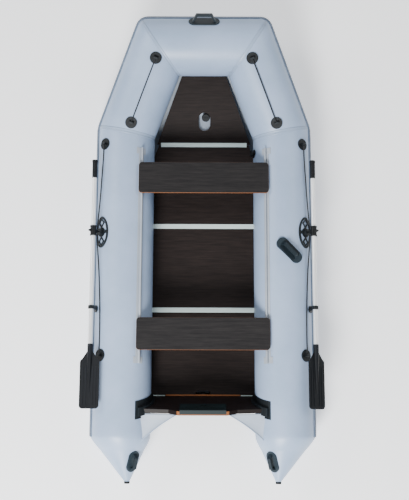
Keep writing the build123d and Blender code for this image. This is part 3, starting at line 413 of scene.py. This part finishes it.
# %% Finishes for the hard parts
FINISHES = (
    ("rub_strake", STRAKE), ("seat_rail", RAIL_RUBBER), ("front_seat_board", SEAT_PLY),
    ("rear_seat_board", SEAT_PLY), ("transom_board", TRANSOM_PLY), ("floor_joiners", BAR_ALUMINIUM),
    ("floor_stringers", BAR_ALUMINIUM), ("oar_shaft", OAR_ALUMINIUM), ("oar_blade", OAR_PLASTIC),
    ("oar_grip", OAR_PLASTIC), ("inner_motor_pad", PAD_PLASTIC), ("outer_motor_pad", PAD_PLASTIC),
    ("bow_handle", SLATE_RUBBER), ("side_handle", SLATE_RUBBER), ("stern_handle", SLATE_RUBBER),
    ("line_eyes", BLACK_RUBBER), ("oarlock_base", BLACK_RUBBER), ("cone_caps", BLACK_RUBBER),
    ("transom_holders", BLACK_RUBBER), ("chamber_bulkheads", BOTTOM_FABRIC),
)
for name, part in nodes.items():
    finish = next((made for stem, made in FINISHES if name.startswith(stem)), NYLON)
    if name.endswith("floorboard"):
        finish = FLOOR_PLY
    part.data.materials.clear()
    part.data.materials.append(finish)
print("finished parts", len(nodes))


# %% [markdown]
# The hull is one ring of fabric: a straight tube down each side, a bow tube that rises and turns in, a short
# tube across the bow, and a cone at each stern. It could be a bevelled curve, but a curve rounds its corners,
# and these are mitred. So the mesh starts as a circle of points at the stern and runs every point straight
# along each tube until it meets the next mitre plane. Air pulls the fabric tight, so it sinks a little at
# each seam and gathers into small folds on the inside of each bend.

# %% A mesh from rows of points
def mesh_piece(name, vertices, faces, finish, smooth=True):
    """A mesh object at the origin, with its faces turned outwards."""
    data = bpy.data.meshes.new(name)
    data.from_pydata([tuple(point) for point in vertices], [], faces)
    data.validate()
    work = bmesh.new()
    work.from_mesh(data)
    bmesh.ops.recalc_face_normals(work, faces=work.faces)
    work.to_mesh(data)
    work.free()
    for face in data.polygons:
        face.use_smooth = smooth
    data.materials.append(finish)
    piece = bpy.data.objects.new(name, data)
    bpy.context.scene.collection.objects.link(piece)
    return piece


def rows_to_faces(rows, count, closed=True):
    """Quads between neighbouring rows of points, each row count points long."""
    faces = []
    for row in range(rows - 1):
        for step in range(count if closed else count - 1):
            after = (step + 1) % count
            faces.append((row * count + step, row * count + after,
                          (row + 1) * count + after, (row + 1) * count + step))
    return faces


# %% The hull's path
AROUND = 112
PATH = [TAPER, KNUCKLE, CORNER, mirrored(CORNER), mirrored(KNUCKLE), mirrored(TAPER)]
RUN_ROWS = (110, 60, 52, 60, 110)
CORNER_ROUND = 0.11
CONE_ROWS = 30
CONE_SWELL = 0.004
SWELL_FROM = 0.7
SEAM_DEPTH, SEAM_REACH = 0.0022, 0.012
GATHER_DEPTH, GATHER_REACH, GATHERS_PER_METRE = 0.006, 0.05, 30


def direction(run):
    return (PATH[run + 1] - PATH[run]).normalized()


def seam_normal(corner):
    """Normal of the cut at a point of the path: square at the cones, the mitre plane at a bend."""
    if corner == 0:
        return direction(0)
    if corner == len(PATH) - 1:
        return direction(corner - 1)
    return (direction(corner - 1) + direction(corner)).normalized()


def carried(points, run):
    """Points run along one tube until they meet the plane at its far end."""
    normal = seam_normal(run + 1)
    along = direction(run)
    return [point + along * ((PATH[run + 1] - point).dot(normal) / along.dot(normal)) for point in points]


def out_from(point, run):
    """Direction away from a tube's axis at a point."""
    offset = point - PATH[run]
    along = direction(run)
    return (offset - along * offset.dot(along)).normalized()


def seam_rings():
    """The circle or ellipse of points at every seam of the ring."""
    start = [TAPER + Vector((math.cos(turn), 0, math.sin(turn))) * TUBE_RADIUS
             for turn in (2 * math.pi * step / AROUND for step in range(AROUND))]
    rings = [start]
    for run in range(len(PATH) - 1):
        rings.append(carried(rings[-1], run))
    return rings


RINGS = seam_rings()


def half_turn(corner):
    """Tangent of half the bend at a corner of the path, and the way out of the bend."""
    if corner in (0, len(PATH) - 1):
        return 0.0, Vector((0, 0, 1))
    before, after = direction(corner - 1), direction(corner)
    return math.tan(before.angle(after) / 2), (before - after).normalized()


def sink(distance):
    """How far the fabric lies below the true cylinder near a seam."""
    return SEAM_DEPTH * math.exp(-distance / SEAM_REACH)


def eased(distance, out, corner):
    """Depth below the true cylinder near a mitre: a rounded ridge outside, small gathers inside."""
    slope, outwards = half_turn(corner)
    ridge = slope * out.dot(outwards)
    reach = CORNER_ROUND * ridge
    if ridge <= 0 or distance >= reach:
        return 0.0
    return CORNER_ROUND - math.sqrt(CORNER_ROUND ** 2 - (reach - distance) ** 2)


def gathers(point, distance, out, corner):
    """Small folds of slack fabric on the inside of a bend, gone a few centimetres from the mitre."""
    slope, outwards = half_turn(corner)
    inside = max(0.0, -slope * out.dot(outwards))
    wave = noise.noise(point * GATHERS_PER_METRE)
    return GATHER_DEPTH * inside * math.exp(-distance / GATHER_REACH) * wave


def skin_point(near, far, share, run, lift=0.0):
    """A point of the fabric between two seam rings, lifted if it belongs to something that lies on it."""
    point = near.lerp(far, share)
    out = out_from(near, run)
    behind, ahead = (point - near).length, (far - point).length
    gap, corner = (behind, run) if behind < ahead else (ahead, run + 1)
    depth = sink(gap) + eased(gap, out, corner) + gathers(point, gap, out, corner)
    return point + out * (lift - depth)


def spread(row, rows):
    """Share along a tube, with the rows closer together towards both seams."""
    return 0.5 - 0.5 * math.cos(math.pi * row / rows)


def hull_rows():
    """All rings of the skin: the starboard cone, then every tube up to the port side's last ring."""
    tip_row = [CONE_TIP + Vector((math.cos(turn), 0, math.sin(turn))) * CONE_TIP_RADIUS
               for turn in (2 * math.pi * step / AROUND for step in range(AROUND))]
    cone = []
    for row in range(CONE_ROWS):
        share = row / CONE_ROWS
        line = []
        for tip, rim in zip(tip_row, RINGS[0]):
            point = tip.lerp(rim, share)
            axis = CONE_TIP.lerp(TAPER, share)
            swell = CONE_SWELL * math.sin(math.pi * max(0.0, share - SWELL_FROM) / (1 - SWELL_FROM))
            line.append(point + (point - axis).normalized() * swell)
        cone.append(line)
    rows = list(cone)
    for run in range(len(PATH) - 1):
        for row in range(RUN_ROWS[run]):
            rows.append([skin_point(near, far, spread(row, RUN_ROWS[run]), run)
                         for near, far in zip(RINGS[run], RINGS[run + 1])])
    rows.append([skin_point(near, far, 1.0, len(PATH) - 2) for near, far in zip(RINGS[-2], RINGS[-1])])
    return rows, cone


rows, cone_part = hull_rows()
last_ring = rows[-1]


def turned_like(line, model):
    """The same ring of points, started and wound so that it lies nearest to a model ring."""
    centre = sum(line, Vector()) / len(line)
    model_centre = sum(model, Vector()) / len(model)
    target = (model[0] - model_centre).normalized()
    quarter = (model[AROUND // 4] - model_centre).normalized()
    start = max(range(AROUND), key=lambda k: (line[k] - centre).normalized().dot(target))
    forward = (line[(start + AROUND // 4) % AROUND] - centre).normalized().dot(quarter)
    step_way = 1 if forward > 0 else -1
    return [line[(start + step_way * step) % AROUND] for step in range(AROUND)]


for line in reversed(cone_part):
    rows.append(turned_like([mirrored(point) for point in line], last_ring))
flat = [point for line in rows for point in line]
faces = rows_to_faces(len(rows), AROUND)
faces.append(tuple(range(AROUND)))
faces.append(tuple(range(len(flat) - AROUND, len(flat))))
hull_skin = mesh_piece("hull_skin", flat, faces, TUBE_FABRIC)
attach(hull_skin, "hull")
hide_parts("side_tube_port", "side_tube_starboard", "bow_tube_port", "bow_tube_starboard",
            "bow_tube_center", "stern_cone_port", "stern_cone_starboard")
print("hull skin points", len(flat))

# %% [markdown]
# Over each mitre a tape is welded, 30 mm wide and under a millimetre thick, in the same fabric. Each half of
# it lies on one of the two tubes, so its rows are taken from the skin itself and lifted a little.

# %% Seam tapes
TAPE_HALF = 0.015
TAPE_LIFT = 0.0009
TAPE_TUCK = -0.0006


def tape_rows(corner):
    """Rows of points across one seam, from one side of it to the other."""
    lines = []
    for offset, lift in ((-TAPE_HALF, TAPE_TUCK), (-TAPE_HALF, TAPE_LIFT), (-TAPE_HALF / 2, TAPE_LIFT),
                         (0.0, TAPE_LIFT), (TAPE_HALF / 2, TAPE_LIFT), (TAPE_HALF, TAPE_LIFT),
                         (TAPE_HALF, TAPE_TUCK)):
        run = corner - 1 if offset < 0 else corner
        line = []
        for near, far in zip(RINGS[run], RINGS[run + 1]):
            length = (far - near).length
            share = 1 + offset / length if offset < 0 else offset / length
            line.append(skin_point(near, far, share, run, lift))
        lines.append(line)
    return lines


tape_points, tape_faces = [], []
for corner in (1, 2, 3, 4):
    lines = tape_rows(corner)
    start = len(tape_points)
    tape_points += [point for line in lines for point in line]
    tape_faces += [tuple(start + index for index in face) for face in rows_to_faces(len(lines), AROUND)]
seam_tapes = mesh_piece("seam_tapes", tape_points, tape_faces, SEAM_FABRIC)
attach(seam_tapes, "hull")

# %% [markdown]
# The rubbing strake is one extrusion glued right round the ring, a little above its widest line. It has a
# flat web and three ribs, and it follows the fabric round the corners of the bow.

# %% Rubbing strake
STRAKE_LOW, STRAKE_HIGH = -8.0, 24.5
WEB, RIB, TUCK = 0.003, 0.0055, -0.0004
# (share of the strake's width, height over the fabric): a web with three ribs, tucked in at both edges
STRAKE_PROFILE = ((0.0, TUCK), (0.0, WEB), (0.012, RIB), (0.075, RIB), (0.09, WEB), (0.45, WEB), (0.465, RIB),
                  (0.535, RIB), (0.55, WEB), (0.91, WEB), (0.925, RIB), (0.988, RIB), (1.0, WEB), (1.0, TUCK))


def ring_at(angle):
    """One point of every seam ring, at an angle on the tube."""
    turn = math.radians(angle)
    points = [TAPER + Vector((math.cos(turn), 0, math.sin(turn))) * TUBE_RADIUS]
    for run in range(len(PATH) - 1):
        points += carried(points[-1:], run)
    return points


strake_lines = [(ring_at(STRAKE_LOW + (STRAKE_HIGH - STRAKE_LOW) * share), lift)
                for share, lift in STRAKE_PROFILE]
grid = []
for run in range(len(PATH) - 1):
    count = RUN_ROWS[run]
    last_row = count + (1 if run == len(PATH) - 2 else 0)
    for row in range(last_row):
        grid.append([skin_point(points[run], points[run + 1], spread(row, count), run, lift)
                     for points, lift in strake_lines])
flat = [point for line in grid for point in line]
width = len(STRAKE_PROFILE)
faces = rows_to_faces(len(grid), width, closed=True)
faces += [tuple(range(width)), tuple(range(len(flat) - width, len(flat)))]
rubbing_strake = mesh_piece("rubbing_strake", flat, faces, STRAKE)
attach(rubbing_strake, "hull")
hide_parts("rub_strake_port", "rub_strake_starboard", "rub_strake_bow")

# %% [markdown]
# The bottom is one sheet of heavier fabric, welded to the undersides of the tubes. The keel pushes it down
# into a shallow V, and it sweeps up to the bow tube. It is a grid whose rows follow the boat's length.

# %% Bottom fabric
SEAM_ANGLE = math.radians(60)
EDGE_X = TUBE_X - TUBE_RADIUS * math.cos(SEAM_ANGLE)
EDGE_Z = TUBE_Z - TUBE_RADIUS * math.sin(SEAM_ANGLE)
BOW_EDGE_Y = CORNER.y - TUBE_RADIUS * math.cos(SEAM_ANGLE)
BOTTOM_AFT = -1.142
KEEL_GAP = 0.0035


def bottom_row(y, steps=40):
    share = max(0.0, (y - KNUCKLE.y) / (BOW_EDGE_Y - KNUCKLE.y))
    half = EDGE_X + share * (CORNER.x * 0.62 - EDGE_X)
    edge = EDGE_Z + share * BOW_RISE
    keel = KEEL_GAP + share ** 1.2 * (EDGE_Z + BOW_RISE - KEEL_GAP)
    line = []
    for step in range(steps + 1):
        across = -1 + 2 * step / steps
        sag = 0.004 * math.sin(math.pi * min(1.0, abs(across))) * (1 - share)
        line.append(Vector((across * half, y, max(0.001, keel + (edge - keel) * abs(across) ** 1.15 - sag))))
    return line


stations = [BOTTOM_AFT + (BOW_EDGE_Y - BOTTOM_AFT) * step / 90 for step in range(91)]
grid = [bottom_row(y) for y in stations]
flat = [point for line in grid for point in line]
bottom_fabric = mesh_piece("bottom_fabric", flat, rows_to_faces(len(grid), len(grid[0]), closed=False),
                           BOTTOM_FABRIC)
wall = bottom_fabric.modifiers.new("wall", "SOLIDIFY")
wall.thickness = 0.0012
wall.offset = 1
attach(bottom_fabric, "hull")
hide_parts("bottom_skin", "bow_bottom_skin")

# %% [markdown]
# Under the floor lies an inflated keel, a long soft wedge that rises under the bow board. A ring of points
# that follows a rounded triangle is drawn at each station, and both ends are closed with a flat cap.

# %% Keel tube
def keel_ring(y, half, top, low, count=40):
    line = []
    for step in range(count):
        turn = 2 * math.pi * step / count
        across = math.copysign(abs(math.cos(turn)) ** 0.7, math.cos(turn))
        height = math.sin(turn)
        z = top - (1 - height) * 0.012 if height > 0 else top - 0.012 + height * (top - 0.012 - low)
        narrow = 1.0 if height > 0 else (1 - 0.55 * abs(height) ** 1.4)
        line.append(Vector((across * half * narrow, y, z)))
    return line


keel_sections = [(-0.948, 0.09, 0.070, 0.02), (-0.92, 0.145, 0.0725, 0.0115), (0.0, 0.147, 0.0725, 0.0105),
                 (0.80, 0.147, 0.0725, 0.0125), (0.95, 0.10, 0.110, 0.062), (1.06, 0.06, 0.144, 0.105),
                 (1.095, 0.03, 0.152, 0.125)]
grid = []
for (y0, h0, t0, l0), (y1, h1, t1, l1) in zip(keel_sections, keel_sections[1:]):
    for step in range(8):
        share = step / 8
        grid.append(keel_ring(y0 + (y1 - y0) * share, h0 + (h1 - h0) * share, t0 + (t1 - t0) * share,
                              l0 + (l1 - l0) * share))
grid.append(keel_ring(*keel_sections[-1]))
count = len(grid[0])
flat = [point for line in grid for point in line]
faces = rows_to_faces(len(grid), count)
faces += [tuple(range(count)), tuple(range(len(flat) - count, len(flat)))]
keel_air_tube = mesh_piece("keel_air_tube", flat, faces, KNEE_FABRIC)
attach(keel_air_tube, "hull")
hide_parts("keel_tube")

# %% [markdown]
# Each knee is a triangle of fabric between the top of the transom and the side tube. It is pulled tight, so
# its free edge curves in a little, and that edge is folded into a welded hem, which is a thicker band.

# %% Transom knees
KNEE_INNER = Vector((0.165, -1.1665, 0.3755))
KNEE_OUTER = Vector((0.431, -1.1600, 0.3560))
KNEE_TIP = Vector((0.4180, -1.3500, 0.3300))
KNEE_STEPS = 18
HEM_REACH = (0.0, 0.006, 0.012)
HEM_LIFT = Vector((0, 0, 0.0016))


def knee_grid(flip):
    """Rows from the transom edge to the tip; the free edge curves in by a few millimetres."""
    lines = []
    for row in range(KNEE_STEPS + 1):
        share = row / KNEE_STEPS
        start = KNEE_INNER.lerp(KNEE_TIP, share) + Vector((0.010, 0.006, 0)) * math.sin(math.pi * share)
        end = KNEE_OUTER.lerp(KNEE_TIP, share)
        line = [start.lerp(end, step / KNEE_STEPS * 0.999) for step in range(KNEE_STEPS + 1)]
        for index, point in enumerate(line):
            inside = math.sin(math.pi * share) * math.sin(math.pi * index / KNEE_STEPS)
            point.z -= 0.004 * inside
        lines.append([flip(point) for point in line])
    return lines


for side in ("starboard", "port"):
    flip = mirrored if side == "port" else (lambda point: point.copy())
    grid = knee_grid(flip)
    flat = [point for line in grid for point in line]
    knee = mesh_piece(f"knee_fabric_{side}", flat, rows_to_faces(len(grid), len(grid[0]), closed=False),
                      KNEE_FABRIC)
    wall = knee.modifiers.new("wall", "SOLIDIFY")
    wall.thickness = 0.0014
    hem_points = []
    for line in grid:
        inward = (line[-1] - line[0]).normalized()
        hem_points.append([line[0] + inward * reach + HEM_LIFT for reach in HEM_REACH])
    flat = [point for line in hem_points[:-1] for point in line]
    hem = mesh_piece(f"knee_hem_{side}", flat,
                     rows_to_faces(len(hem_points) - 1, len(HEM_REACH), closed=False), SEAM_FABRIC)
    edge_wall = hem.modifiers.new("wall", "SOLIDIFY")
    edge_wall.thickness = 0.002
    for piece in (knee, hem):
        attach(piece, "hull")
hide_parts("transom_knees")

# %% [markdown]
# Where the floor meets the transom a bare plywood batten stops the last board, and on each side of it lies a
# short aluminium angle. Both are thin bars that lie on the boards' end.

# %% Battens at the floor's end
def bar(name, low, high, finish):
    """A plain bar between two corners, with its long edges slightly rounded by a bevel."""
    x0, y0, z0, x1, y1, z1 = *low, *high
    corners = [(x, y, z) for x in (x0, x1) for y in (y0, y1) for z in (z0, z1)]
    faces = [(0, 1, 3, 2), (4, 6, 7, 5), (0, 4, 5, 1), (2, 3, 7, 6), (0, 2, 6, 4), (1, 5, 7, 3)]
    piece = mesh_piece(name, corners, faces, finish, smooth=False)
    edge = piece.modifiers.new("edge", "BEVEL")
    edge.width = 0.0008
    edge.segments = 2
    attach(piece, "hull")
    return piece


BARE_PLY = plywood("bare_plywood_batten", (0, 1, 0), "#8a5534", "#a8703f")
BATTEN_Y = (-1.0335, -1.0235)
bar("floor_end_batten", (-0.262, BATTEN_Y[0], 0.0885), (0.262, BATTEN_Y[1], 0.0965), BARE_PLY)
for side, sign in (("starboard", 1), ("port", -1)):
    inner, outer = sorted((sign * 0.266, sign * 0.36))
    bar(f"floor_end_angle_{side}", (inner, BATTEN_Y[0], 0.0885), (outer, BATTEN_Y[1] - 0.005, 0.0945),
                BAR_ALUMINIUM)

# %% [markdown]
# The oar grips are moulded with raised rings, so a wet hand does not slip. One tree of nodes makes a row of
# rings along a line: each is a thin round section swept round a circle. Both oars use the same tree.

# %% Grip rings
SHAFT_X, SHAFT_Z = 0.7627, 0.4047
GRIP_FRONT = 0.580
RING_INPUTS = (("Start", "NodeSocketVector", (0, 0, 0)), ("Count", "NodeSocketInt", 12),
               ("Spacing", "NodeSocketFloat", 0.009), ("Ring Radius", "NodeSocketFloat", 0.0181),
               ("Ring Thickness", "NodeSocketFloat", 0.0012), ("Finish", "NodeSocketMaterial", None))


def ring_row_tree():
    """A node tree that lays rings along the boat, from a start place towards the stern."""
    tree = bpy.data.node_groups.new("ring_row", "GeometryNodeTree")
    for title, kind, value in RING_INPUTS:
        socket = tree.interface.new_socket(title, in_out="INPUT", socket_type=kind)
        if value is not None:
            socket.default_value = value
    tree.interface.new_socket("Geometry", in_out="OUTPUT", socket_type="NodeSocketGeometry")
    source = node(tree, "NodeGroupInput").outputs
    back = node(tree, "ShaderNodeMath", {"operation": "MULTIPLY"}, i0=source["Spacing"])
    back.inputs[1].default_value = -1.0
    step = node(tree, "ShaderNodeCombineXYZ", Y=back.outputs[0])
    line = node(tree, "GeometryNodeMeshLine", {"mode": "OFFSET"}, Count=source["Count"])
    tree.links.new(source["Start"], line.inputs["Start Location"])
    tree.links.new(step.outputs[0], line.inputs["Offset"])
    path = node(tree, "GeometryNodeCurvePrimitiveCircle", {"Resolution": 40}, Radius=source["Ring Radius"])
    section = node(tree, "GeometryNodeCurvePrimitiveCircle", {"Resolution": 8},
                   Radius=source["Ring Thickness"])
    ring = node(tree, "GeometryNodeCurveToMesh", Curve=path.outputs["Curve"])
    tree.links.new(section.outputs["Curve"], ring.inputs["Profile Curve"])
    laid = node(tree, "GeometryNodeInstanceOnPoints", {"Rotation": (math.radians(90), 0, 0)},
                Points=line.outputs["Mesh"], Instance=ring.outputs["Mesh"])
    real = node(tree, "GeometryNodeRealizeInstances", Geometry=laid.outputs["Instances"])
    finish = node(tree, "GeometryNodeSetMaterial", Geometry=real.outputs["Geometry"])
    tree.links.new(source["Finish"], finish.inputs["Material"])
    tree.links.new(finish.outputs["Geometry"], node(tree, "NodeGroupOutput").inputs["Geometry"])
    return tree


def made_by(tree, name, values):
    """A plain mesh piece made by a node tree with the given inputs."""
    holder = mesh_piece(f"{name}_maker", [(0, 0, 0), (0.001, 0, 0), (0, 0.001, 0)], [(0, 1, 2)], OAR_PLASTIC)
    maker = holder.modifiers.new("maker", "NODES")
    maker.node_group = tree
    sockets = {item.name: item.identifier for item in tree.interface.items_tree if item.in_out == "INPUT"}
    for title, value in values.items():
        maker[sockets[title]] = value
    graph = bpy.context.evaluated_depsgraph_get()
    mesh = bpy.data.meshes.new_from_object(holder.evaluated_get(graph), depsgraph=graph)
    piece = bpy.data.objects.new(name, mesh)
    bpy.context.scene.collection.objects.link(piece)
    bpy.data.objects.remove(holder)
    for face in mesh.polygons:
        face.use_smooth = True
    return piece


RING_ROW = ring_row_tree()
for side, sign in (("starboard", 1), ("port", -1)):
    rings = made_by(RING_ROW, f"grip_rings_{side}",
                    {"Start": (sign * SHAFT_X, GRIP_FRONT, SHAFT_Z), "Count": 12, "Finish": OAR_PLASTIC})
    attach(rings, f"oar_{side}")
    print(rings.name, len(rings.data.polygons))

# %% Floor of the studio
floor_points = [(-9, -9, -0.0005), (9, -9, -0.0005), (9, 9, -0.0005), (-9, 9, -0.0005)]
PALE, _, _ = material("pale_floor", Roughness=0.95, Base_Color=colour("#fbfcfd"), Specular_IOR_Level=0.1,
                      Emission_Color=colour("#ffffff"), Emission_Strength=0.45)
studio_floor = mesh_piece("studio_floor", floor_points, [(0, 1, 2, 3)], PALE, smooth=False)
